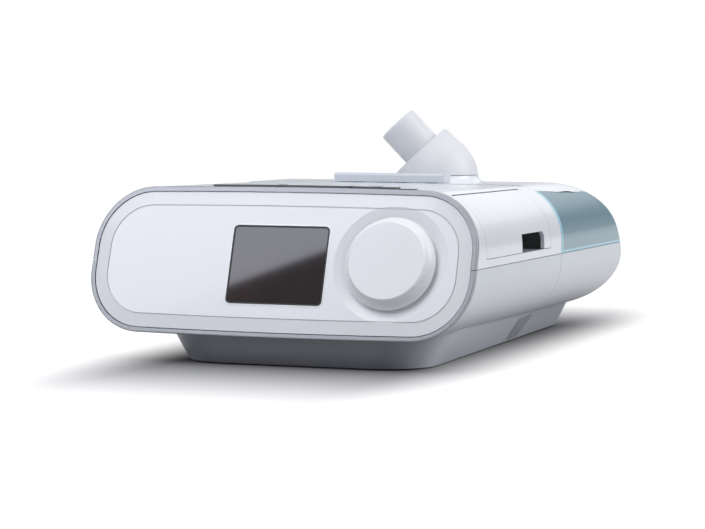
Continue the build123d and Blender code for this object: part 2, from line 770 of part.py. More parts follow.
def blower():
    """Centrifugal blower: scroll housing, cover, motor, impeller and its soft mounts."""
    centre = (blower_x, face_y + blower_y)
    top = blower_floor + blower_height
    cover_low = top - blower_wall
    body = extrude(Pos(0, 0, blower_floor) * scroll_outline(0), amount=cover_low - blower_floor)
    outlet_end = joint_y - duct_length
    body += rod((outlet_x, centre[1] + 8, outlet_height), (0, 1, 0), outlet_radius,
                outlet_end - centre[1] - 8)
    body -= extrude(Pos(0, 0, blower_floor + blower_wall) * scroll_outline(blower_wall),
                    amount=blower_height)
    body -= rod((outlet_x, centre[1] + 8, outlet_height), (0, 1, 0),
                outlet_radius - outlet_wall, far / 4)
    save("blower_housing", body)
    cover = extrude(Pos(0, 0, cover_low + contact) * scroll_outline(0), amount=blower_wall)
    cover += rod((*centre, cover_low + contact), (0, 0, 1), inlet_hole_radius + 1.6,
                 blower_wall + 3)
    cover -= rod((*centre, cover_low - 1), (0, 0, 1), inlet_hole_radius, 10)
    save("blower_cover", cover)
    motor_low = blower_floor + blower_wall + contact
    motor = rod((*centre, motor_low), (0, 0, 1), motor_radius, motor_height)
    motor = chamfer(motor.edges().sort_by(Axis.Z)[-1:], 1.5)
    motor -= rod((*centre, motor_low + 2), (0, 0, 1), motor_shaft_radius + fit, motor_height)
    save("blower_motor", motor)
    impeller_low = motor_low + motor_height + 1.5
    shaft_low = motor_low + 3
    save("motor_shaft", rod((*centre, shaft_low), (0, 0, 1), motor_shaft_radius,
                            impeller_low + impeller_height - 3 - shaft_low))
    save("impeller", impeller(centre, impeller_low))
    mounts = []
    for turn in mount_turns:
        x, y = mount_place(turn)
        mounts.append(rod((x, y, blower_floor - mount_height + contact), (0, 0, 1), mount_radius,
                          mount_height - 2 * contact))
    save("blower_mounts", Compound(children=[Solid(m.wrapped) for m in mounts]))
    start = outlet_end + contact
    duct = tube((outlet_x, start, outlet_height), (0, 1, 0), outlet_radius,
                outlet_radius - outlet_wall, joint_y + outlet_reach - start)
    duct += tube((outlet_x, joint_y - wall - 3.2, outlet_height), (0, 1, 0), outlet_radius + 2,
                 outlet_radius - outlet_wall, 2.8)
    save("outlet_duct", duct)


def impeller(centre, low):
    """Backing plate, hub and curved blades that lean back from the eye to the edge."""
    body = rod((0, 0, 0), (0, 0, 1), impeller_radius, 1.2)
    body += rod((0, 0, 0), (0, 0, 1), 5.0, impeller_height)
    lean = 38.0

    def point(radius, turn):
        return radius * cos(radians(turn)), radius * sin(radians(turn))

    middle = (impeller_eye + impeller_radius) / 2
    back = degrees(blade_thickness / middle)
    blade = make_face([
        ThreePointArc(point(impeller_eye, 0), point(middle, -lean / 3), point(
            impeller_radius - 0.2, -lean)),
        Line(point(impeller_radius - 0.2, -lean), point(impeller_radius - 0.2, -lean - back)),
        ThreePointArc(point(impeller_radius - 0.2, -lean - back),
                      point(middle, -lean / 3 - back), point(impeller_eye, -back)),
        Line(point(impeller_eye, -back), point(impeller_eye, 0)),
    ])
    blade = extrude(blade, amount=impeller_height)
    for i in range(blade_count):
        body += Rot(0, 0, 360 / blade_count * i) * blade
    body -= rod((0, 0, -1), (0, 0, 1), motor_shaft_radius + contact, impeller_height - 2)
    return Pos(*centre, low) * body


def electronics():
    """Main board of the front unit and the plug that feeds the humidifier."""
    xs = [p[0] for p in board_posts]
    ys = [p[1] for p in board_posts]
    board = prism((min(xs) - 5, min(ys) - 5), (max(xs) + 5, max(ys) + 12), 2,
                  main_board_z + contact, main_board_z + board_thickness)
    for i in range(3):
        board += rod((14 + 11 * i, face_y + 60, main_board_z + 1), (0, 0, 1), 4.5, 13)
    board += block((10, face_y + 80, main_board_z + 1), (30, face_y + 100, main_board_z + 4))
    save("main_board", board)
    low = main_board_z + board_thickness + contact
    high = low + dock_height
    plug = block((dock_x - 11, joint_y - 12, low), (dock_x + 11, joint_y - seam, high))
    plug += block((dock_x - 8, joint_y - 2, low + 2.5), (dock_x + 8, joint_y + 5, high - 2.5))
    save("dock_plug", plug)


# ---- Humidifier ---------------------------------------------------------------------------------

hinge_y = rear_y - top_fall_length - hinge_sunk + top_fall_length * sqrt(
    1 - ((hinge_height - tip_height) / (lid_height - tip_height))**2)


def lid_zone(gap):
    """The room in plan that the lid takes, down to its lower edge at the hinge and beside it."""
    near, back = lid_front_width / 2 + gap, lid_rear_width / 2 + gap
    start, turn, end = joint_y - 5, face_y + elbow_y, rear_y + 10
    outline = make_face(Polyline(
        (-near, start), (near, start), (back, turn), (back, end), (-back, end), (-back, turn),
        close=True))
    zone = extrude(Pos(0, 0, hinge_height - 0.5 - gap) * outline, amount=100)
    for side in (-1, 1):
        inner, outer = sorted((side * (hinge_zone + gap), side * width))
        zone -= block((inner, joint_y, hinge_height - 5), (outer, far, lid_side_bottom - gap))
    return zone


def knuckle(index, growth=0.0):
    """Start and length of one knuckle along the hinge."""
    pitch = (hinge_span + knuckle_gap) / knuckle_count
    start = -hinge_span / 2 + index * pitch
    return (start - growth, hinge_y, hinge_height), pitch - knuckle_gap + 2 * growth


def lid():
    """Lid with the elbow's pedestal, the latch lugs, the hinge knuckles and its gasket."""
    outer, under = humidifier_form(), humidifier_form(0, lid_thickness)
    body = (outer - under) & lid_zone(0)
    body = above(body, across(joint_y + seam / 2))
    centre = (elbow_x, face_y + elbow_y)
    base, top = lid_height, elbow_base_height - seam
    flare = make_face([
        Line((0, neck_boss), (pedestal_radius, neck_boss)),
        Line((pedestal_radius, neck_boss), (pedestal_radius, base)),
        ThreePointArc((pedestal_radius, base),
                      (elbow_base_radius + 0.9, base + (top - base) * 0.35),
                      (elbow_base_radius, top)),
        Line((elbow_base_radius, top), (0, top)),
        Line((0, top), (0, neck_boss)),
    ])
    boss = rod((*centre, neck_boss), (0, 0, 1), neck_radius + 4, 4)
    body += turned(flare, Plane((*centre, 0))) - under + boss
    body -= rod((*centre, 70), (0, 0, 1), neck_radius + fit, 30)
    for side in (-1, 1):
        x = side * latch_width * 0.33
        body += rod((x - latch_lug_width / 2, latch_axis_y, latch_axis_z), (1, 0, 0),
                    latch_height * 0.36, latch_lug_width)
        body += block((x - latch_lug_width / 2, latch_axis_y - latch_height * 0.25,
                       lid_height - 1.5),
                      (x + latch_lug_width / 2, latch_axis_y + latch_height * 0.25,
                       latch_axis_z))
    body -= rod((-far / 4, latch_axis_y, latch_axis_z), (1, 0, 0), latch_pin_radius + contact,
                far / 2)
    slot_front = joint_y + latch_back + 0.5
    body -= block((-tongue_width / 2 - 0.4, slot_front, lid_height - 6),
                  (tongue_width / 2 + 0.4, latch_axis_y - 3.1, lid_height + 2))
    for index in range(1, knuckle_count, 2):
        start, length = knuckle(index)
        body += rod(start, (1, 0, 0), hinge_radius, length)
        web = block((start[0], hinge_y - hinge_radius, hinge_height),
                    (start[0] + length, hinge_y + hinge_radius, hinge_height + 6))
        body += web & outer
    for index in range(0, knuckle_count, 2):
        start, length = knuckle(index, knuckle_gap)
        body -= rod(start, (1, 0, 0), hinge_radius + knuckle_room, length)
    body -= rod((-far / 4, hinge_y, hinge_height), (1, 0, 0), hinge_pin_radius + fit, far / 2)
    save("humidifier_lid", body)
    seal = humidifier_form(0, lid_thickness + contact) - humidifier_form(0, tank_drop - contact)
    save("lid_seal", seal & (opening(4) - opening(1)))


def opening(grow):
    """The tank's filling opening, in plan."""
    half = tank_opening_width / 2 + grow
    return prism((-half, joint_y + tank_opening_front - grow),
                 (half, rear_y - tank_opening_rear + grow), 14 + grow, 52, 100)


tank_drop = lid_thickness + tank_seal_thickness + 0.3
neck_boss = 78.0
latch_axis_y = joint_y + latch_back + latch_depth - latch_height / 2
latch_axis_z = lid_height + latch_lift + latch_height / 2


def latch():
    """Lid latch, whose rounded rear edge turns on a pin between two lugs of the lid."""
    radius = latch_height / 2
    front = joint_y + latch_back
    low, high = latch_axis_z - radius, latch_axis_z + radius
    outline = make_face([
        Line((front, low), (front, high - 1)),
        Line((front, high - 1), (front + 1, high)),
        Line((front + 1, high), (latch_axis_y, high)),
        ThreePointArc((latch_axis_y, high), (latch_axis_y + radius, latch_axis_z),
                      (latch_axis_y, low)),
        Line((latch_axis_y, low), (front, low)),
    ])
    body = extrude(side_plane * outline, amount=latch_width / 2, both=True)
    body &= prism((-latch_width / 2, front), (latch_width / 2, front + latch_depth),
                  latch_corner, low - 1, high + 1)
    for side in (-1, 1):
        x = side * latch_width * 0.33
        half = latch_lug_width / 2 + 0.3
        body -= rod((x - half, latch_axis_y, latch_axis_z), (1, 0, 0), latch_height * 0.36 + 0.3,
                    2 * half)
        reach = latch_height * 0.36 + 2.6
        body -= block((x - half, latch_axis_y - reach, low - 1),
                      (x + half, latch_axis_y + radius + 1, latch_axis_z))
    tongue_y = front + tongue_back
    body += block((-tongue_width / 2, tongue_y, low - tongue_length),
                  (tongue_width / 2, tongue_y + tongue_thickness, low + 1))
    pin_half = latch_width / 2 - 3
    body -= rod((-pin_half - 0.3, latch_axis_y, latch_axis_z), (1, 0, 0), latch_pin_radius + fit,
                2 * pin_half + 0.6)
    save("lid_latch", body)
    save("latch_pin", rod((-pin_half, latch_axis_y, latch_axis_z), (1, 0, 0), latch_pin_radius,
                          2 * pin_half))


def elbow():
    """Swivelling air outlet: a hood over a neck that snaps into the lid, and a slanted stub."""
    centre = (elbow_x, face_y + elbow_y)
    middle = Vector(*centre, elbow_centre)
    lean, heading = radians(stub_lean), radians(stub_heading)
    out = Vector(cos(lean) * cos(heading), cos(lean) * sin(heading), sin(lean))
    low, tip = elbow_base_height, elbow_tip_height
    shoulder = (elbow_base_radius * 0.65, low + (tip - low) * 0.63)
    crown = (elbow_base_radius * 0.22, tip - 0.5)
    outline = make_face([
        Line((0, low), (elbow_base_radius, low)),
        ThreePointArc((elbow_base_radius, low),
                      (elbow_base_radius * 0.91, low + (tip - low) * 0.3), shoulder),
        Line(shoulder, crown),
        Line(crown, (0, tip)),
        Line((0, tip), (0, low)),
    ])
    body = turned(outline, Plane((*centre, 0)))
    body = fillet(body.edges().filter_by(GeomType.CIRCLE).sort_by(Axis.Z)[-1:], 1.5)
    cut = Plane(middle + out * elbow_cut, z_dir=out)
    body = below(body, cut)
    stub = rod(middle + out * (elbow_cut - 4), out, stub_radius, stub_length + 4)
    stub = fillet(stub.edges().group_by(Axis(middle, out))[-1], stub_edge * 0.8)
    body += stub
    neck_low = neck_boss - seam - neck_lip - 0.4
    body += rod((*centre, neck_low), (0, 0, 1), neck_radius, low - neck_low + 1)
    lip = rod((*centre, neck_low), (0, 0, 1), neck_radius + neck_lip, neck_lip + 0.4)
    body += chamfer(lip.edges().group_by(Axis.Z)[0], 0.8)
    body -= rod((*centre, neck_low - 1), (0, 0, 1), elbow_mouth, elbow_centre - neck_low)
    body -= Pos(middle) * Sphere(elbow_mouth)
    body -= rod(middle, out, elbow_bore, far / 8)
    seal_low = neck_boss + 3
    groove = tube((*centre, seal_low), (0, 0, 1), neck_radius + 1, neck_radius - 1.2, 2.2)
    save("outlet_elbow", body - groove)
    save("elbow_seal", tube((*centre, seal_low + contact), (0, 0, 1), neck_radius,
                            neck_radius - 1.2 + contact, 2.2 - 2 * contact))


def tank():
    """Clear water tank: upper walls flush with the case, and a narrower tub inside the base."""
    body = above(humidifier_form(), upper_split)
    body -= lid_zone(seam) - humidifier_form(0, tank_drop)
    body = above(body, across(joint_y + seam / 2))
    body += tub(0, heater_top + contact, split_height + 1)
    room = above(humidifier_form(tank_wall, tank_drop),
                 Plane((0, 0, split_height + seam / 2 + tank_wall)))
    room = above(room, across(joint_y + seam / 2 + tank_wall))
    front = joint_y + latch_back + 0.3
    rear = latch_axis_y + 1.0
    shelf = block((-tongue_width / 2 - 3, joint_y, lid_height - tank_drop - 5),
                  (tongue_width / 2 + 3, rear, lid_height))
    back = block((-hinge_zone - 2.5, hinge_y - 7.5, 0), (hinge_zone + 2.5, far, hinge_height + 12))
    room -= shelf
    room -= back
    body -= room
    body -= tub(tank_wall, heater_top + contact + tank_wall, split_height + 4)
    body -= opening(0)
    body -= block((-hinge_zone - 0.5, hinge_y - 5.2, 0), (hinge_zone + 0.5, far, hinge_height + 9))
    body -= block((-tongue_width / 2 - 0.4, latch_axis_y - 7.4, lid_height - tank_drop - 3),
                  (tongue_width / 2 + 0.4, latch_axis_y - 2.9, lid_height + 1))
    body -= rod((outlet_x, joint_y - 1, outlet_height), (0, 1, 0), outlet_radius + 2.5, 8)
    save("water_tank", body)
    save("port_seal", tube((outlet_x, joint_y + seam, outlet_height), (0, 1, 0),
                           outlet_radius + 2.5 - contact, outlet_radius + fit, tank_wall - 0.2))


def tub(inset, low, high):
    half = tub_width / 2 - inset
    front = joint_y + seam / 2 + wall + 1.2 + inset
    return prism((-half, front), (half, rear_y - tub_rear - inset), tub_corner - inset, low, high)


def humidifier_base():
    """Lower shell of the humidifier with its hinge block, heater well and openings."""
    body = below(humidifier_outer, lower_split) - humidifier_inner
    ledge = block((-hinge_zone, hinge_y - 5.0, split_height - 4),
                  (hinge_zone, far, split_height - seam / 2))
    body += ledge & humidifier_outer
    body -= rod((-hinge_zone - 1, hinge_y, hinge_height), (1, 0, 0), hinge_radius + hinge_groove,
                2 * hinge_zone + 2)
    for index in range(0, knuckle_count, 2):
        start, length = knuckle(index)
        body += rod(start, (1, 0, 0), hinge_radius, length)
        body += block((start[0], hinge_y - hinge_radius, split_height - 3),
                      (start[0] + length, hinge_y + hinge_radius * 0.6, hinge_height))
    body -= rod((-far / 4, hinge_y, hinge_height), (1, 0, 0), hinge_pin_radius + contact, far / 2)
    floor = foot_proud + wall / 2
    heater_low = heater_top - heater_thickness - spring_height
    for x, y in heater_posts:
        body += rod((x, y, floor), (0, 0, 1), 3.5, heater_low - floor)
    for x, y in humidifier_feet_places:
        body -= rod((x, y, 0), (0, 0, 1), foot_radius + 0.1, foot_proud + foot_depth)
    body -= dock_block(-1, 4)
    body -= rod((outlet_x, joint_y - 1, outlet_height), (0, 1, 0), outlet_radius + 2.5, 8)
    body -= jack_cut()
    body -= tab_prism(0.3, 12)
    body -= rod((-hinge_span / 2 - 0.2, hinge_y, hinge_height), (1, 0, 0), hinge_pin_radius +
                contact, hinge_span + 0.4)
    save("humidifier_base", body)
    save("hinge_pin", rod((-hinge_span / 2, hinge_y, hinge_height), (1, 0, 0), hinge_pin_radius,
                          hinge_span))


spring_height = 3.0
heater_centre = joint_y + 60.0
heater_posts = [(heater_radius * 0.75 * cos(radians(a)),
                 heater_centre + heater_radius * 0.75 * sin(radians(a))) for a in (45, 135, 225,
                                                                                  315)]


def dock_block(start, end):
    """Room for the plug and its socket through the walls at the joint."""
    low = main_board_z + board_thickness
    return block((dock_x - 11.4, joint_y + start, low - 0.3),
                 (dock_x + 11.4, joint_y + end, low + dock_height + 0.3))


def heater():
    """Heater plate under the tank on four soft pads, its board and the socket for the plug."""
    low = heater_top - heater_thickness
    save("heater_plate", rod((0, heater_centre, low), (0, 0, 1), heater_radius, heater_thickness))
    pads = [rod((x, y, low - spring_height + contact), (0, 0, 1), 3.0,
                spring_height - 2 * contact) for x, y in heater_posts]
    save("heater_pads", Compound(children=[Solid(p.wrapped) for p in pads]))
    board_low = foot_proud + wall + 0.5
    board = prism((20, joint_y + 14), (52, joint_y + 28), 2, board_low,
                  board_low + board_thickness)
    for x, y in ((24, 17), (48, 17), (24, 25), (48, 25)):
        board += rod((x, joint_y + y, foot_proud + wall + contact), (0, 0, 1), 1.5, 1.5)
    board += block((30, joint_y + 18, board_low + 1), (42, joint_y + 25, board_low + 5))
    save("heater_board", board)
    low = main_board_z + board_thickness + contact
    high = low + dock_height
    socket = block((dock_x - 11, joint_y + seam, low), (dock_x + 11, joint_y + 12, high))
    socket -= block((dock_x - 8.3, joint_y - 1, low + 2.2),
                    (dock_x + 8.3, joint_y + 6, high - 2.2))
    save("dock_socket", socket)


def jack_surface():
    """Where the rear of the humidifier passes the height of the power inlet."""
    rise = (jack_z - tip_height) / (tip_height - belly_height)
    return rear_y - belly_rise_length + belly_rise_length * sqrt(1 - rise**2)


def jack_cut():
    return rod((jack_x, jack_surface() - 12, jack_z), (0, 1, 0), jack_radius + contact, 30)


def power_inlet():
    """Round low-voltage inlet in the rear: a barrel with a centre pin."""
    end = jack_surface() - 0.8
    body = rod((jack_x, end - jack_length, jack_z), (0, 1, 0), jack_radius, jack_length)
    body += rod((jack_x, end - jack_length, jack_z), (0, 1, 0), jack_radius + 1.5,
                jack_flange)
    body -= rod((jack_x, end - jack_depth, jack_z), (0, 1, 0), jack_bore, jack_depth + 1)
    body += rod((jack_x, end - jack_depth - 1, jack_z), (0, 1, 0), jack_pin_radius, jack_depth)
    save("power_inlet", body)


def tab_plane():
    """Plane on the right side of the foot, at the height of the tab's middle."""
    lean = radians(plinth_side_lean)
    rise = (tab_top + tab_bottom) / 2 - foot_proud
    along = (joint_y + tab_back + tab_bottom_width / 2 - face_y + plinth_front)
    run = (rear_y - plinth_rear_gap) - (face_y - plinth_front)
    narrowing = plinth_front_right - plinth_rear_width / 2
    x = plinth_front_right - narrowing * along / run + rise * tan(lean)
    y = joint_y + tab_back + tab_bottom_width / 2
    z = foot_proud + rise
    return Plane((x, y, z), x_dir=(0, 1, 0), z_dir=(cos(lean), 0, -sin(lean)))


def tab_prism(grow, depth):
    """The tab's outline pushed through the side of the foot."""
    half_height = (tab_top - tab_bottom) / 2 / cos(radians(plinth_side_lean)) + grow
    top, bottom = tab_top_width / 2 + grow, tab_bottom_width / 2 + grow
    outline = make_face(Polyline(
        (-top, -half_height), (top, -half_height), (bottom, half_height), (-bottom, half_height),
        close=True))
    outline = fillet(outline.vertices(), 1.5 + grow)
    plane = tab_plane()
    return extrude(plane.offset(-depth / 2) * outline, amount=depth)


def release_tab():
    """Spring-loaded tab that frees the humidifier, with a stem inside the foot."""
    layer = plinth(-0.3) - plinth(tab_thickness)
    body = layer & tab_prism(0, 12)
    plane = tab_plane()
    reach = tab_stem + tab_travel
    body += extrude(plane.offset(-reach) * Rectangle(8, 5), amount=reach - tab_thickness / 2)
    save("release_tab", body)


# ---- All parts ----------------------------------------------------------------------------------

if __name__ == "__main__":
    os.makedirs("parts", exist_ok=True)
    rim()
    front_panel()
    screen()
    dial()
    deck_buttons()
    side_door()
    door_bay()
    filters_and_card()
    upper_case()
    lower_case()
    feet_and_screws()
    blower()
    electronics()
    lid()
    latch()
    elbow()
    tank()
    humidifier_base()
    heater()
    power_inlet()
    release_tab()
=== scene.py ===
import bpy
import bmesh
from math import cos, pi, radians, sin
from mathutils import Matrix, Vector


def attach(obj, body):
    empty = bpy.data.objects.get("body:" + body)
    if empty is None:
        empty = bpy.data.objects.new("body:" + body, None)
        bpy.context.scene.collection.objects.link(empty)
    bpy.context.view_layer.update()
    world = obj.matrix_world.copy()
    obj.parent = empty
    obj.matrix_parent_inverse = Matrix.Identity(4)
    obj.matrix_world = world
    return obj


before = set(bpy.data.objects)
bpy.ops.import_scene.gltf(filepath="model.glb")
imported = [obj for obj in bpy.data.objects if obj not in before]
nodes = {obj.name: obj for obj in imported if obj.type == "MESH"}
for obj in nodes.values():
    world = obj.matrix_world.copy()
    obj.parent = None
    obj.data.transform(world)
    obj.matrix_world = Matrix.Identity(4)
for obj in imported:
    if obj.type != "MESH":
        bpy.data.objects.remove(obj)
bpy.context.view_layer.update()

# ---- Studio ------------------------------------------------------------------------------------
# A pale floor under soft lamps overhead, in front, at the right and behind, with a weak fill at the
# front right. The camera stands low, to the right of the panel. The world looks white to it, and
# lights the object with less than that.

scene = bpy.context.scene
scene.view_settings.view_transform = "Standard"

camera_data = bpy.data.cameras.new("camera")
camera_data.sensor_width = 36
camera_data.lens = 121.36
camera_data.clip_end = 50
camera = bpy.data.objects.new("camera", camera_data)
right, up = Vector((0.93678, 0.34988, 0.00404)), Vector((-0.02567, 0.05721, 0.99803))
turn = Matrix((right, up, right.cross(up))).transposed().to_4x4()
camera.matrix_world = Matrix.Translation((0.419886, -1.16056, 0.117316)) @ turn
scene.collection.objects.link(camera)
scene.camera = camera

world = bpy.data.worlds.new("studio")
scene.world = world
world.use_nodes = True
sky = world.node_tree
sky.nodes.clear()
sky_out = sky.nodes.new("ShaderNodeOutputWorld")
sky_light = sky.nodes.new("ShaderNodeBackground")
sky_light.inputs["Color"].default_value = (0.93, 0.96, 1.0, 1)
sky_light.inputs["Strength"].default_value = 0.45
sky_seen = sky.nodes.new("ShaderNodeBackground")
sky_seen.inputs["Color"].default_value = (1, 1, 1, 1)
sky_mix = sky.nodes.new("ShaderNodeMixShader")
sky_path = sky.nodes.new("ShaderNodeLightPath")
sky.links.new(sky_path.outputs["Is Camera Ray"], sky_mix.inputs["Fac"])
sky.links.new(sky_light.outputs[0], sky_mix.inputs[1])
sky.links.new(sky_seen.outputs[0], sky_mix.inputs[2])
sky.links.new(sky_mix.outputs[0], sky_out.inputs["Surface"])


def lamp(name, place, aim, size, power, colour=(1, 1, 1)):
    data = bpy.data.lights.new(name, "AREA")
    data.shape = "RECTANGLE"
    data.size, data.size_y = size
    data.energy = power
    data.color = colour
    light = bpy.data.objects.new(name, data)
    light.location = place
    light.rotation_euler = (Vector(aim) - Vector(place)).to_track_quat("-Z", "Y").to_euler()
    light.visible_camera = False
    scene.collection.objects.link(light)
    return light


lamp("overhead_lamp", (0.1, 0.3, 1.7), (0, 0, 0), (1.8, 1.4), 6.5)
lamp("front_lamp", (-0.2, -0.9, 1.5), (0, -0.1, 0.04), (0.9, 0.6), 7.6)
lamp("right_lamp", (1.35, 0.35, 0.85), (0.05, 0, 0.04), (0.9, 0.9), 12)
lamp("back_lamp", (0.25, 1.7, 0.75), (0.05, 0, 0.06), (1.6, 0.6), 2)
lamp("fill_lamp", (0.95, -1.1, 0.55), (0, -0.1, 0.04), (0.8, 0.8), 1.0)

# The small softbox stands where the screen mirrors it, and its slanting lower edge crosses the
# glass. The polished panel carries the same light, softened.
softbox = lamp("softbox", (0, 0, 0), (0, 0, -1), (0.5, 0.34), 3.1, (0.86, 0.87, 1.0))
edge, rise = Vector((0.8611, -0.0996, 0.4986)), Vector((-0.3397, 0.6169, 0.7099))
turn = Matrix((edge, rise, edge.cross(rise))).transposed().to_4x4()
softbox.matrix_world = Matrix.Translation(
    Vector((-0.4355, -1.034, 0.6175)) + rise * 0.17) @ turn

# To the camera and in reflections the floor glows up to white away from the machine, and near its
# foot the glow fades out into a painted shadow. To all other rays it is a dim matt floor, so the
# underside of the case stays in shade.
floor_mesh = bmesh.new()
bmesh.ops.create_grid(floor_mesh, x_segments=1, y_segments=1, size=6)
floor_data = bpy.data.meshes.new("floor")
floor_mesh.to_mesh(floor_data)
floor_mesh.free()
floor = bpy.data.objects.new("floor", floor_data)
scene.collection.objects.link(floor)
floor_paint = bpy.data.materials.new("pale_floor")
floor_paint.use_nodes = True
floor_data.materials.append(floor_paint)
paint = floor_paint.node_tree
paint.nodes.clear()
floor_out = paint.nodes.new("ShaderNodeOutputMaterial")
floor_dim = paint.nodes.new("ShaderNodeBsdfDiffuse")
floor_dim.inputs["Color"].default_value = (0.28, 0.28, 0.29, 1)
floor_matt = paint.nodes.new("ShaderNodeBsdfDiffuse")
floor_matt.inputs["Color"].default_value = (0.20, 0.20, 0.205, 1)
floor_place = paint.nodes.new("ShaderNodeTexCoord")


def floor_step(operation, amount=None):
    """One step in reckoning how far a point of the floor is from the machine's foot."""
    step = paint.nodes.new("ShaderNodeVectorMath")
    step.operation = operation
    if amount:
        step.inputs[1].default_value = amount
    return step


foot_middle, foot_half, painted_shadow_fade = (0.005, 0, 0), (0.055, 0.125, 0), (2.4, 0.72, 0)
floor_steps = [floor_step("SUBTRACT", foot_middle), floor_step("ABSOLUTE"),
               floor_step("SUBTRACT", foot_half), floor_step("MAXIMUM", (0, 0, 0)),
               floor_step("MULTIPLY", painted_shadow_fade), floor_step("LENGTH")]
floor_rise = paint.nodes.new("ShaderNodeMapRange")
floor_rise.interpolation_type = "SMOOTHSTEP"
floor_rise.inputs["From Max"].default_value = 0.14
floor_rise.inputs["To Max"].default_value = 0.95
floor_lift = paint.nodes.new("ShaderNodeEmission")
floor_sum = paint.nodes.new("ShaderNodeAddShader")
floor_mix = paint.nodes.new("ShaderNodeMixShader")
floor_path = paint.nodes.new("ShaderNodeLightPath")
floor_seen = paint.nodes.new("ShaderNodeMath")
floor_seen.operation = "MAXIMUM"
paint.links.new(floor_place.outputs["Object"], floor_steps[0].inputs[0])
for before, after in zip(floor_steps, floor_steps[1:]):
    paint.links.new(before.outputs[0], after.inputs[0])
paint.links.new(floor_steps[-1].outputs["Value"], floor_rise.inputs["Value"])
paint.links.new(floor_rise.outputs["Result"], floor_lift.inputs["Strength"])
paint.links.new(floor_matt.outputs[0], floor_sum.inputs[0])
paint.links.new(floor_lift.outputs[0], floor_sum.inputs[1])
paint.links.new(floor_path.outputs["Is Camera Ray"], floor_seen.inputs[0])
paint.links.new(floor_path.outputs["Is Glossy Ray"], floor_seen.inputs[1])
paint.links.new(floor_seen.outputs[0], floor_mix.inputs["Fac"])
paint.links.new(floor_dim.outputs[0], floor_mix.inputs[1])
paint.links.new(floor_sum.outputs[0], floor_mix.inputs[2])
paint.links.new(floor_mix.outputs[0], floor_out.inputs["Surface"])

# ---- Upper and lower case ----------------------------------------------------------------------
# Injection-moulded ABS shells. The upper half and the door are polished, the lower half is satin,
# and both carry the faint waviness and fine grain of the mould.


def moulded(name, colour, rough, grain=0.0006, depth=0.00002, coat=0.0, variation=0.03,
            metallic=0.0):
    """A plastic, rubber, paint or metal whose colour clouds a little and whose skin has a grain.

    grain is the width of the grains and depth their height, both in metres.
    """
    material = bpy.data.materials.new(name)
    material.use_nodes = True
    tree = material.node_tree
    shader = tree.nodes["Principled BSDF"]
    shader.inputs["Roughness"].default_value = rough
    shader.inputs["Metallic"].default_value = metallic
    shader.inputs["Coat Weight"].default_value = coat
    shader.inputs["Coat Roughness"].default_value = 0.06
    place = tree.nodes.new("ShaderNodeTexCoord")
    cloud = tree.nodes.new("ShaderNodeTexNoise")
    cloud.inputs["Scale"].default_value = 22
    cloud.inputs["Detail"].default_value = 4
    ramp = tree.nodes.new("ShaderNodeValToRGB")
    ramp.color_ramp.elements[0].position = 0.3
    ramp.color_ramp.elements[1].position = 0.7
    ramp.color_ramp.elements[0].color = (*[c * (1 - variation) for c in colour], 1)
    ramp.color_ramp.elements[1].color = (*[min(1, c * (1 + variation)) for c in colour], 1)
    fine = tree.nodes.new("ShaderNodeTexNoise")
    fine.inputs["Scale"].default_value = 1 / grain
    fine.inputs["Detail"].default_value = 3
    bump = tree.nodes.new("ShaderNodeBump")
    bump.inputs["Strength"].default_value = 0.35
    bump.inputs["Distance"].default_value = depth
    polish = tree.nodes.new("ShaderNodeMapRange")
    polish.inputs["To Min"].default_value = rough * 0.85
    polish.inputs["To Max"].default_value = min(1, rough * 1.15)
    tree.links.new(place.outputs["Object"], cloud.inputs["Vector"])
    tree.links.new(place.outputs["Object"], fine.inputs["Vector"])
    tree.links.new(cloud.outputs["Fac"], ramp.inputs["Fac"])
    tree.links.new(ramp.outputs["Color"], shader.inputs["Base Color"])
    tree.links.new(cloud.outputs["Fac"], polish.inputs["Value"])
    tree.links.new(polish.outputs["Result"], shader.inputs["Roughness"])
    tree.links.new(fine.outputs["Fac"], bump.inputs["Height"])
    tree.links.new(bump.outputs["Normal"], shader.inputs["Normal"])
    return material


def finish_node(material, *names):
    """One finish on these CAD nodes."""
    for name in names:
        slots = nodes[name].material_slots
        if slots:
            for entry in slots:
                entry.material = material
        else:
            nodes[name].data.materials.append(material)


def link_piece(name, mesh, material):
    """Turn a finished bmesh into an object with one material."""
    bmesh.ops.recalc_face_normals(mesh, faces=mesh.faces)
    data = bpy.data.meshes.new(name)
    mesh.to_mesh(data)
    mesh.free()
    data.materials.append(material)
    piece = bpy.data.objects.new(name, data)
    scene.collection.objects.link(piece)
    return piece


polished_case = moulded("polished_case", (0.72, 0.745, 0.785), 0.26, depth=0.000008, coat=0.25)

# Painted shade: the forward-looking faces of the foot are painted darker, most of all near the
# floor.
foot_top = 0.0155
satin_case = moulded("satin_case", (0.62, 0.65, 0.70), 0.34)
tree = satin_case.node_tree
shader = tree.nodes["Principled BSDF"]
place = tree.nodes["Texture Coordinate"]
facing = tree.nodes.new("ShaderNodeNewGeometry")
ahead = tree.nodes.new("ShaderNodeSeparateXYZ")
height = tree.nodes.new("ShaderNodeSeparateXYZ")
forward = tree.nodes.new("ShaderNodeMapRange")
forward.inputs["From Min"].default_value = -0.3
forward.inputs["From Max"].default_value = -0.9
in_foot = tree.nodes.new("ShaderNodeMapRange")
in_foot.inputs["From Min"].default_value = foot_top
in_foot.inputs["From Max"].default_value = 0.0
in_foot.inputs["To Min"].default_value = 0.55
in_foot.inputs["To Max"].default_value = 0.95
foot_front = tree.nodes.new("ShaderNodeMath")
foot_front.operation = "MULTIPLY"
painted_foot_shade = tree.nodes.new("ShaderNodeMix")
painted_foot_shade.data_type = "RGBA"
painted_foot_shade.inputs["B"].default_value = (0.075, 0.076, 0.084, 1)
tree.links.new(facing.outputs["Normal"], ahead.inputs[0])
tree.links.new(place.outputs["Object"], height.inputs[0])
tree.links.new(ahead.outputs["Y"], forward.inputs["Value"])
tree.links.new(height.outputs["Z"], in_foot.inputs["Value"])
tree.links.new(forward.outputs["Result"], foot_front.inputs[0])
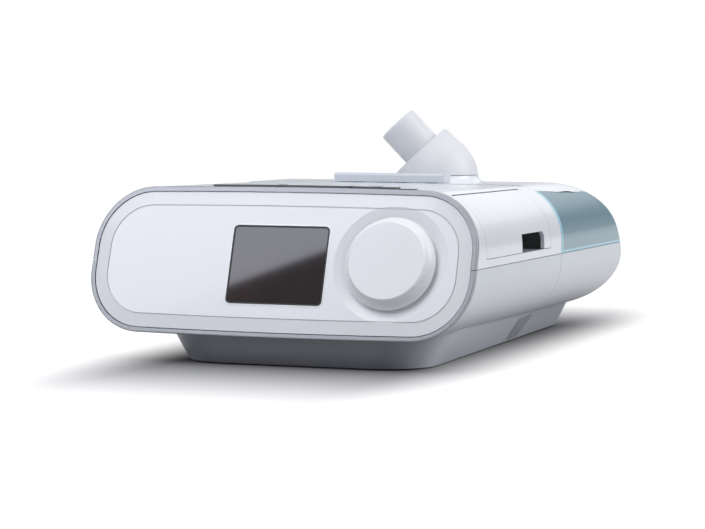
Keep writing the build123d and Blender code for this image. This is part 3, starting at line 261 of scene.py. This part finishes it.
tree.links.new(in_foot.outputs["Result"], foot_front.inputs[1])
tree.links.new(foot_front.outputs[0], painted_foot_shade.inputs["Factor"])
tree.links.new(tree.nodes["Color Ramp"].outputs["Color"], painted_foot_shade.inputs["A"])
tree.links.new(painted_foot_shade.outputs["Result"], shader.inputs["Base Color"])
finish_node(polished_case, "upper_case", "side_door")
finish_node(satin_case, "lower_case")

# ---- Rim ---------------------------------------------------------------------------------------
# Two grey half frames between the panel and the case, painted with a fine satin metallic paint.

rim_paint = moulded("rim_paint", (0.33, 0.34, 0.36), 0.34, grain=0.0003, depth=0.00001,
                    metallic=0.35)
finish_node(rim_paint, "rim_upper", "rim_lower")

# ---- Front panel -------------------------------------------------------------------------------
# A glossy white moulding with a polished face, snapped into the rim, with a hollow for the dial.

panel_middle = 0.04875
groove = (0.0188, 0.0202)
gloss_white = moulded("gloss_white", (0.84, 0.855, 0.88), 0.30, depth=0.000004, coat=0.2,
                      variation=0.01)

# Painted shade: a dark line along the groove near the panel's edge, a greyer band beyond it.
# Both are found as the distance from a rounded oblong whose long sides bow outwards.
tree = gloss_white.node_tree
shader = tree.nodes["Principled BSDF"]
place = tree.nodes.new("ShaderNodeTexCoord")
parts = tree.nodes.new("ShaderNodeSeparateXYZ")
tree.links.new(place.outputs["Object"], parts.inputs[0])
corner = tree.nodes.new("ShaderNodeCombineXYZ")
squared = tree.nodes.new("ShaderNodeMath")
squared.operation = "MULTIPLY"
tree.links.new(parts.outputs["X"], squared.inputs[0])
tree.links.new(parts.outputs["X"], squared.inputs[1])
crowned = tree.nodes.new("ShaderNodeMath")
crowned.operation = "MULTIPLY_ADD"
crowned.inputs[1].default_value = 0.125
tree.links.new(squared.outputs[0], crowned.inputs[0])
for socket, middle, straight in (("X", 0.0, 0.068), ("Z", panel_middle, 0.00625)):
    off_middle = tree.nodes.new("ShaderNodeMath")
    off_middle.operation = "SUBTRACT"
    off_middle.inputs[1].default_value = middle
    size = tree.nodes.new("ShaderNodeMath")
    size.operation = "ABSOLUTE"
    past = tree.nodes.new("ShaderNodeMath")
    past.operation = "SUBTRACT"
    past.inputs[1].default_value = straight
    kept = tree.nodes.new("ShaderNodeMath")
    kept.operation = "MAXIMUM"
    kept.inputs[1].default_value = 0
    tree.links.new(parts.outputs[socket], off_middle.inputs[0])
    tree.links.new(off_middle.outputs[0], size.inputs[0])
    if socket == "Z":
        tree.links.new(size.outputs[0], crowned.inputs[2])
        tree.links.new(crowned.outputs[0], past.inputs[0])
    else:
        tree.links.new(size.outputs[0], past.inputs[0])
    tree.links.new(past.outputs[0], kept.inputs[0])
    tree.links.new(kept.outputs[0], corner.inputs[socket])
reach = tree.nodes.new("ShaderNodeVectorMath")
reach.operation = "LENGTH"
tree.links.new(corner.outputs[0], reach.inputs[0])
past_groove = tree.nodes.new("ShaderNodeMapRange")
past_groove.inputs["From Min"].default_value = groove[0]
past_groove.inputs["From Max"].default_value = groove[1]
tree.links.new(reach.outputs["Value"], past_groove.inputs["Value"])
groove_painted_shade = tree.nodes.new("ShaderNodeValToRGB")
for position, tone in ((0.36, 1.0), (0.44, 0.70), (0.74, 0.70), (0.82, 0.93)):
    stop = groove_painted_shade.color_ramp.elements.new(position)
    stop.color = (tone, tone, tone, 1)
groove_painted_shade.color_ramp.elements[0].color = (1, 1, 1, 1)
groove_painted_shade.color_ramp.elements[-1].color = (0.93, 0.93, 0.93, 1)
tree.links.new(past_groove.outputs["Result"], groove_painted_shade.inputs["Fac"])
shade = tree.nodes.new("ShaderNodeVectorMath")
shade.operation = "MULTIPLY"
ramp = tree.nodes["Color Ramp"]
tree.links.new(ramp.outputs["Color"], shade.inputs[0])
tree.links.new(groove_painted_shade.outputs["Color"], shade.inputs[1])
tree.links.new(shade.outputs["Vector"], shader.inputs["Base Color"])
finish_node(gloss_white, "front_panel")

# ---- Screen ------------------------------------------------------------------------------------
# Hardened glass, printed black behind, flush in the panel, with the unlit colour display under it.

black_glass = bpy.data.materials.new("black_glass")
black_glass.use_nodes = True
tree = black_glass.node_tree
shader = tree.nodes["Principled BSDF"]
shader.inputs["Roughness"].default_value = 0.04
place = tree.nodes.new("ShaderNodeTexCoord")
split_up = tree.nodes.new("ShaderNodeSeparateXYZ")
# Painted light: low down the glass is painted a warm brown, broken up by noise.
painted_warm_light = tree.nodes.new("ShaderNodeMapRange")
painted_warm_light.inputs["From Min"].default_value = 0.068
painted_warm_light.inputs["From Max"].default_value = 0.03
warm_light_mottle = tree.nodes.new("ShaderNodeTexNoise")
warm_light_mottle.inputs["Scale"].default_value = 60
mix = tree.nodes.new("ShaderNodeMix")
mix.data_type = "RGBA"
mix.inputs["A"].default_value = (0.010, 0.009, 0.010, 1)
mix.inputs["B"].default_value = (0.034, 0.013, 0.011, 1)
product = tree.nodes.new("ShaderNodeMath")
product.operation = "MULTIPLY"
tree.links.new(place.outputs["Object"], split_up.inputs[0])
tree.links.new(place.outputs["Object"], warm_light_mottle.inputs["Vector"])
tree.links.new(split_up.outputs["Z"], painted_warm_light.inputs["Value"])
tree.links.new(painted_warm_light.outputs["Result"], product.inputs[0])
tree.links.new(warm_light_mottle.outputs["Fac"], product.inputs[1])
tree.links.new(product.outputs[0], mix.inputs["Factor"])
tree.links.new(mix.outputs["Result"], shader.inputs["Base Color"])
finish_node(black_glass, "screen_lens", "sensor_window")
display_black = moulded("display_black", (0.05, 0.055, 0.06), 0.3)
finish_node(display_black, "display_module")

# ---- Screen surround ---------------------------------------------------------------------------
# The panel's opening has a fine polished lip round the glass, moulded with the panel, and a thin
# black gasket fills the gap between the two.

panel_lean = radians(18.2)
panel_place = Matrix.Translation((0, -0.1342, panel_middle)) @ Matrix((
    (1, 0, 0), (0, sin(panel_lean), -cos(panel_lean)), (0, cos(panel_lean), sin(panel_lean)),
)).to_4x4()


def frame_round(name, material, middle, size, corner, width, low, high, soften):
    """A rounded rectangular frame lying on the panel's plane, between two heights."""
    mesh = bmesh.new()
    bmesh.ops.create_grid(mesh, x_segments=1, y_segments=1, size=0.5)
    bmesh.ops.scale(mesh, vec=(size[0], size[1], 1), verts=mesh.verts)
    bmesh.ops.bevel(mesh, geom=mesh.verts[:], offset=corner, segments=8, profile=0.5,
                    affect="VERTICES", material=-1)
    rim = bmesh.ops.inset_region(mesh, faces=mesh.faces[:], thickness=width,
                                 use_even_offset=True, use_boundary=True)["faces"]
    inside = [face for face in mesh.faces if face not in rim]
    bmesh.ops.delete(mesh, geom=inside, context="FACES")
    raised = bmesh.ops.extrude_face_region(mesh, geom=mesh.faces[:])["geom"]
    top = [vert for vert in raised if isinstance(vert, bmesh.types.BMVert)]
    bmesh.ops.translate(mesh, vec=(0, 0, high - low), verts=top)
    bmesh.ops.recalc_face_normals(mesh, faces=mesh.faces)
    crest = [edge for edge in mesh.edges
             if all(vert.co.z > (high - low) / 2 for vert in edge.verts)
             and len(edge.link_faces) == 2
             and abs(edge.link_faces[0].normal.z - edge.link_faces[1].normal.z) > 0.5]
    bmesh.ops.bevel(mesh, geom=crest, offset=soften, segments=3, profile=0.5, affect="EDGES",
                    material=-1)
    bmesh.ops.translate(mesh, vec=(*middle, low), verts=mesh.verts)
    bmesh.ops.transform(mesh, matrix=panel_place, verts=mesh.verts)
    return link_piece(name, mesh, material)


screen_middle = (-0.0004, -0.0014)
# The lip's white is painted lighter than the panel's white, as a painted highlight along the lip.
lip_highlight_white = moulded("lip_highlight_white", (0.90, 0.91, 0.93), 0.14, depth=0.000002, coat=0.6)
screen_lip = frame_round("screen_lip", lip_highlight_white, screen_middle, (0.0496, 0.0393), 0.0029,
                         0.00055, -0.0002, 0.00022, 0.00012)
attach(screen_lip, "main_unit")

gasket_black = moulded("gasket_black", (0.012, 0.012, 0.013), 0.5)
screen_gasket = frame_round("screen_gasket", gasket_black, screen_middle, (0.0484, 0.0381),
                            0.0023, 0.0008, -0.0003, -0.00003, 0.00006)
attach(screen_gasket, "main_unit")

# ---- Dial --------------------------------------------------------------------------------------
# A hollow satin white knob that is turned to choose and pressed to confirm, on a steel shaft.

dial_white = moulded("dial_white", (0.86, 0.872, 0.89), 0.34, grain=0.0004, depth=0.00001,
                     coat=0.15, variation=0.012)
finish_node(dial_white, "control_dial")
turned_steel = moulded("turned_steel", (0.55, 0.56, 0.58), 0.28, grain=0.0002, depth=0.00001,
                       metallic=1.0)
finish_node(turned_steel, "dial_shaft", "dial_plunger", "motor_shaft", "hinge_pin", "latch_pin",
            "case_screws")
black_moulding = moulded("black_moulding", (0.045, 0.047, 0.052), 0.45)
finish_node(black_moulding, "dial_encoder", "card_socket", "dock_plug", "dock_socket")

# ---- Deck buttons ------------------------------------------------------------------------------
# Two satin keys in a grey bezel, each over its switch: the long one starts the therapy.

key_satin = moulded("key_satin", (0.74, 0.78, 0.82), 0.3, coat=0.3)
# Painted shade: the sides of the keys are painted dark, and only their tops keep the pale satin.
tree = key_satin.node_tree
shader = tree.nodes["Principled BSDF"]
facing = tree.nodes.new("ShaderNodeNewGeometry")
upward = tree.nodes.new("ShaderNodeSeparateXYZ")
top_of_key = tree.nodes.new("ShaderNodeMapRange")
top_of_key.inputs["From Min"].default_value = 0.4
top_of_key.inputs["From Max"].default_value = 0.7
painted_key_side_shade = tree.nodes.new("ShaderNodeMix")
painted_key_side_shade.data_type = "RGBA"
painted_key_side_shade.inputs["A"].default_value = (0.11, 0.115, 0.125, 1)
tree.links.new(facing.outputs["Normal"], upward.inputs[0])
tree.links.new(upward.outputs["Z"], top_of_key.inputs["Value"])
tree.links.new(top_of_key.outputs["Result"], painted_key_side_shade.inputs["Factor"])
tree.links.new(tree.nodes["Color Ramp"].outputs["Color"], painted_key_side_shade.inputs["B"])
tree.links.new(painted_key_side_shade.outputs["Result"], shader.inputs["Base Color"])
bezel_grey = moulded("bezel_grey", (0.15, 0.155, 0.165), 0.4)
finish_node(key_satin, "therapy_button", "ramp_button")
finish_node(bezel_grey, "button_bezel")

# ---- Marks on the keys -------------------------------------------------------------------------
# Fine raised marks, moulded with the keys so that a hand finds them in the dark: a broken ring with
# a stroke on the long key, and a rising wedge on the short one.

mark_grey = moulded("mark_grey", (0.20, 0.22, 0.25), 0.4)


def soft_block(mesh, low, high, edge):
    """Add a block with rounded edges between two corners."""
    corners = bmesh.ops.create_cube(mesh, size=1)["verts"]
    size = [b - a for a, b in zip(low, high)]
    middle = [(a + b) / 2 for a, b in zip(low, high)]
    bmesh.ops.scale(mesh, vec=size, verts=corners)
    bmesh.ops.translate(mesh, vec=middle, verts=corners)
    edges = list({line for vert in corners for line in vert.link_edges})
    bmesh.ops.bevel(mesh, geom=edges, offset=edge, segments=2, profile=0.5, affect="EDGES",
                    material=-1)


mesh = bmesh.new()
profile = [mesh.verts.new((x, 0, z)) for x, z in (
    (0.0019, 0), (0.0024, 0), (0.0023, 0.0002), (0.0020, 0.0002))]
loop = [mesh.edges.new((profile[i - 1], profile[i])) for i in range(4)]
bmesh.ops.spin(mesh, geom=profile + loop, cent=(0, 0, 0), axis=(0, 0, 1), dvec=(0, 0, 0),
               angle=radians(290), steps=40, use_merge=False, use_duplicate=False)
bmesh.ops.holes_fill(mesh, edges=mesh.edges[:], sides=4)
bmesh.ops.rotate(mesh, cent=(0, 0, 0), matrix=Matrix.Rotation(radians(125), 3, "Z"),
                 verts=mesh.verts)
soft_block(mesh, (-0.00025, 0.0004, 0), (0.00025, 0.0030, 0.0002), 0.00008)
bmesh.ops.translate(mesh, vec=(-0.008, -0.1087, 0.08418), verts=mesh.verts)
therapy_mark = link_piece("therapy_mark", mesh, mark_grey)
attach(therapy_mark, "therapy_button")

mesh = bmesh.new()
foot = [mesh.verts.new((x, y, 0))
        for x, y in ((-0.003, -0.0012), (0.003, -0.0012), (0.003, 0.0014))]
mesh.faces.new(foot)
bmesh.ops.bevel(mesh, geom=mesh.verts[:], offset=0.0003, segments=3, profile=0.5,
                affect="VERTICES", material=-1)
raised = bmesh.ops.extrude_face_region(mesh, geom=mesh.faces[:])["geom"]
bmesh.ops.translate(mesh, vec=(0, 0, 0.0002),
                    verts=[vert for vert in raised if isinstance(vert, bmesh.types.BMVert)])
bmesh.ops.translate(mesh, vec=(0.0391, -0.1087, 0.08400), verts=mesh.verts)
ramp_mark = link_piece("ramp_mark", mesh, mark_grey)
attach(ramp_mark, "ramp_button")

# ---- Bay behind the side door ------------------------------------------------------------------
# A grey tray that holds the framed foam filter and the memory card's slot.

tray_grey = moulded("tray_grey", (0.30, 0.31, 0.33), 0.5)
finish_node(tray_grey, "door_bay")
pale_moulding = moulded("pale_moulding", (0.66, 0.68, 0.70), 0.42)
finish_node(pale_moulding, "filter_frame", "blower_housing", "blower_cover")
card_blue = moulded("card_blue", (0.03, 0.05, 0.11), 0.35)
finish_node(card_blue, "memory_card")
open_foam = moulded("open_foam", (0.62, 0.64, 0.66), 0.95, grain=0.0011, depth=0.0006,
                    variation=0.12)
finish_node(open_foam, "foam_filter")

# ---- Blower ------------------------------------------------------------------------------------
# A moulded scroll with a dark impeller on a small motor, on three rubber mounts.

motor_black = moulded("motor_black", (0.05, 0.05, 0.055), 0.35)
finish_node(motor_black, "blower_motor")
dark_nylon = moulded("dark_nylon", (0.09, 0.095, 0.105), 0.4)
finish_node(dark_nylon, "impeller")
soft_rubber = moulded("soft_rubber", (0.10, 0.105, 0.11), 0.75, grain=0.0008, depth=0.00005)
finish_node(soft_rubber, "blower_mounts", "outlet_duct", "unit_feet", "humidifier_feet",
            "heater_pads")

# ---- Circuit boards ----------------------------------------------------------------------------
# Green lacquered glass-fibre boards, with the pattern of their copper showing through.

lacquer = bpy.data.materials.new("board_lacquer")
lacquer.use_nodes = True
tree = lacquer.node_tree
shader = tree.nodes["Principled BSDF"]
shader.inputs["Roughness"].default_value = 0.3
shader.inputs["Coat Weight"].default_value = 0.4
place = tree.nodes.new("ShaderNodeTexCoord")
tracks = tree.nodes.new("ShaderNodeTexBrick")
tracks.inputs["Scale"].default_value = 260
tracks.inputs["Color1"].default_value = (0.012, 0.10, 0.045, 1)
tracks.inputs["Color2"].default_value = (0.015, 0.13, 0.055, 1)
tracks.inputs["Mortar"].default_value = (0.03, 0.20, 0.09, 1)
tree.links.new(place.outputs["Object"], tracks.inputs["Vector"])
tree.links.new(tracks.outputs["Color"], shader.inputs["Base Color"])
finish_node(lacquer, "control_board", "switch_board", "main_board", "heater_board")

# ---- Parts on the boards -----------------------------------------------------------------------
# Moulded black chips with tinned legs, scored aluminium tops on the three capacitors, a choke wound
# with enamelled copper wire, and a nylon header for the blower's lead.

chip_black = moulded("chip_black", (0.022, 0.023, 0.025), 0.55, grain=0.0003)
tinned = moulded("tinned", (0.60, 0.61, 0.62), 0.3, grain=0.0002, metallic=1.0)
nylon_white = moulded("nylon_white", (0.74, 0.73, 0.68), 0.5)


def chip(name, middle, size, legs, place=None):
    """A flat chip with a dot in its corner, and its legs as a piece of their own."""
    x, y, z = middle
    half = size / 2
    body, pins = bmesh.new(), bmesh.new()
    soft_block(body, (x - half, y - half, z + 0.0002), (x + half, y + half, z + 0.0014), 0.00015)
    soft_block(body, (x - half * 0.8, y + half * 0.65, z + 0.00135),
               (x - half * 0.65, y + half * 0.8, z + 0.00145), 0.00003)
    pitch = size * 0.86 / legs
    for i in range(legs):
        along = -size * 0.43 + pitch * (i + 0.5)
        for side in (-1, 1):
            out, reach = sorted((side * half, side * (half + 0.0009)))
            soft_block(pins, (x + out, y + along - pitch * 0.25, z),
                       (x + reach, y + along + pitch * 0.25, z + 0.0005), 0.00004)
    for part in (body, pins):
        if place:
            bmesh.ops.transform(part, matrix=place, verts=part.verts)
    pieces = (link_piece(name, body, chip_black), link_piece(name + "_legs", pins, tinned))
    for piece in pieces:
        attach(piece, "main_unit")


main_board_top = 0.0096
chip("driver_chip", (0.020, -0.100, main_board_top), 0.010, 10)
chip("memory_chip", (0.038, -0.100, main_board_top), 0.007, 6)
chip("processor_chip", (0.010, -0.010, 0.0148), 0.012, 12,
     panel_place @ Matrix.Rotation(pi, 4, "Y"))

mesh = bmesh.new()
for i in range(3):
    outline = [mesh.verts.new((x, 0, z)) for x, z in (
        (0, 0.0223), (0.0036, 0.0223), (0.0042, 0.0220), (0.0046, 0.0222), (0.0047, 0.0218),
        (0.0047, 0.0212), (0.00455, 0.0212))]
    lines = [mesh.edges.new((a, b)) for a, b in zip(outline, outline[1:])]
    bmesh.ops.spin(mesh, geom=outline + lines, cent=(0, 0, 0), axis=(0, 0, 1), dvec=(0, 0, 0),
                   angle=2 * pi, steps=32, use_merge=True, use_duplicate=False)
    fresh = [vert for vert in mesh.verts if vert.co.x < 0.006 and not vert.tag]
    bmesh.ops.translate(mesh, vec=(0.014 + 0.011 * i, -0.0742, 0), verts=fresh)
    for vert in fresh:
        vert.tag = True
bmesh.ops.remove_doubles(mesh, verts=mesh.verts, dist=0.000001)
capacitor_tops = link_piece("capacitor_tops", mesh, tinned)
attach(capacitor_tops, "main_unit")

around = 96
mesh = bmesh.new()
ring = bmesh.ops.create_circle(mesh, cap_ends=False, segments=14, radius=0.0022)["verts"]
bmesh.ops.rotate(mesh, cent=(0, 0, 0), matrix=Matrix.Rotation(pi / 2, 3, "X"), verts=ring)
bmesh.ops.translate(mesh, vec=(0.0048, 0, 0), verts=ring)
bmesh.ops.spin(mesh, geom=mesh.verts[:] + mesh.edges[:], cent=(0, 0, 0), axis=(0, 0, 1),
               dvec=(0, 0, 0), angle=2 * pi, steps=around, use_merge=True, use_duplicate=False)
turned = {vert: Vector(vert.co.xy).angle_signed(Vector((1, 0)), 0) + pi for vert in mesh.verts}
wound = [vert for vert in mesh.verts if int(turned[vert] / (2 * pi) * around) % 3 == 0]
bmesh.ops.scale(mesh, vec=(0.985, 0.985, 0.9), verts=wound)
bmesh.ops.translate(mesh, vec=(0.043, -0.050, 0.0118), verts=mesh.verts)
copper_wire = moulded("copper_wire", (0.42, 0.15, 0.06), 0.3, grain=0.0002, metallic=0.8)
choke = link_piece("choke", mesh, copper_wire)
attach(choke, "main_unit")

mesh = bmesh.new()
soft_block(mesh, (0.006, -0.024, main_board_top), (0.020, -0.017, 0.0148), 0.0003)
top = max(mesh.faces, key=lambda face: face.calc_center_median().z)
bmesh.ops.inset_region(mesh, faces=[top], thickness=0.0008)
bmesh.ops.translate(mesh, vec=(0, 0, -0.0042), verts=top.verts)
for i in range(5):
    soft_block(mesh, (0.0080 + 0.0024 * i, -0.0208, 0.0104),
               (0.0086 + 0.0024 * i, -0.0202, 0.0142), 0.0001)
blower_header = link_piece("blower_header", mesh, nylon_white)
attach(blower_header, "main_unit")

# ---- Humidifier base and tank ------------------------------------------------------------------
# The base is satin like the lower case. The tank is a smoke-blue clear moulding, whose wall above
# the seam makes the window at the side and the rear.

finish_node(satin_case, "humidifier_base")

# Painted light: the window is painted paler towards its foot, and its front and lower edges carry
# a painted highlight.
window_front, window_foot, pale_from, pale_to = 0.0142, 0.0490, 0.064, 0.056
tank_clear = bpy.data.materials.new("tank_clear")
tank_clear.use_nodes = True
tree = tank_clear.node_tree
shader = tree.nodes["Principled BSDF"]
shader.inputs["Roughness"].default_value = 0.22
shader.inputs["Transmission Weight"].default_value = 0.3
shader.inputs["IOR"].default_value = 1.45
shader.inputs["Specular IOR Level"].default_value = 0.3
place = tree.nodes.new("ShaderNodeTexCoord")
flow = tree.nodes.new("ShaderNodeTexNoise")
flow.inputs["Scale"].default_value = 35
flow.inputs["Detail"].default_value = 2
ramp = tree.nodes.new("ShaderNodeValToRGB")
ramp.color_ramp.elements[0].color = (0.145, 0.28, 0.35, 1)
ramp.color_ramp.elements[1].color = (0.17, 0.315, 0.39, 1)
parts = tree.nodes.new("ShaderNodeSeparateXYZ")
lower = tree.nodes.new("ShaderNodeMapRange")
lower.inputs["From Min"].default_value = pale_from
lower.inputs["From Max"].default_value = pale_to
pale = tree.nodes.new("ShaderNodeMix")
pale.data_type = "RGBA"
pale.inputs["B"].default_value = (0.285, 0.435, 0.51, 1)
front_edge = tree.nodes.new("ShaderNodeMath")
front_edge.operation = "LESS_THAN"
front_edge.inputs[1].default_value = window_front
low_edge = tree.nodes.new("ShaderNodeMath")
low_edge.operation = "LESS_THAN"
low_edge.inputs[1].default_value = window_foot
edge_line = tree.nodes.new("ShaderNodeMath")
edge_line.operation = "MAXIMUM"
painted_edge_highlight = tree.nodes.new("ShaderNodeMix")
painted_edge_highlight.data_type = "RGBA"
painted_edge_highlight.inputs["B"].default_value = (0.42, 0.80, 0.95, 1)
bump = tree.nodes.new("ShaderNodeBump")
bump.inputs["Strength"].default_value = 0.2
bump.inputs["Distance"].default_value = 0.00003
tree.links.new(place.outputs["Object"], flow.inputs["Vector"])
tree.links.new(place.outputs["Object"], parts.inputs[0])
tree.links.new(flow.outputs["Fac"], ramp.inputs["Fac"])
tree.links.new(parts.outputs["Z"], lower.inputs["Value"])
tree.links.new(parts.outputs["Y"], front_edge.inputs[0])
tree.links.new(parts.outputs["Z"], low_edge.inputs[0])
tree.links.new(front_edge.outputs[0], edge_line.inputs[0])
tree.links.new(low_edge.outputs[0], edge_line.inputs[1])
tree.links.new(lower.outputs["Result"], pale.inputs["Factor"])
tree.links.new(ramp.outputs["Color"], pale.inputs["A"])
tree.links.new(edge_line.outputs[0], painted_edge_highlight.inputs["Factor"])
tree.links.new(pale.outputs["Result"], painted_edge_highlight.inputs["A"])
tree.links.new(painted_edge_highlight.outputs["Result"], shader.inputs["Base Color"])
tree.links.new(flow.outputs["Fac"], bump.inputs["Height"])
tree.links.new(bump.outputs["Normal"], shader.inputs["Normal"])
finish_node(tank_clear, "water_tank")
pale_silicone = moulded("pale_silicone", (0.60, 0.63, 0.66), 0.6)
finish_node(pale_silicone, "port_seal", "lid_seal", "elbow_seal")
cast_aluminium = moulded("cast_aluminium", (0.62, 0.63, 0.64), 0.35, grain=0.0007,
                         depth=0.00004, metallic=1.0)
finish_node(cast_aluminium, "heater_plate")
finish_node(black_moulding, "power_inlet")

# ---- Lid, latch and elbow ----------------------------------------------------------------------
# The lid is polished like the upper case. Its latch is satin, and the elbow is matt white.

finish_node(polished_case, "humidifier_lid")
latch_satin = moulded("latch_satin", (0.60, 0.64, 0.69), 0.35, coat=0.2)
finish_node(latch_satin, "lid_latch")
matt_white = moulded("matt_white", (0.67, 0.68, 0.705), 0.45, grain=0.0005)
finish_node(matt_white, "outlet_elbow")

# ---- Release tab -------------------------------------------------------------------------------
# A sprung grey tab in the foot, which frees the humidifier.

tab_grey = moulded("tab_grey", (0.36, 0.385, 0.42), 0.4)
finish_node(tab_grey, "release_tab")
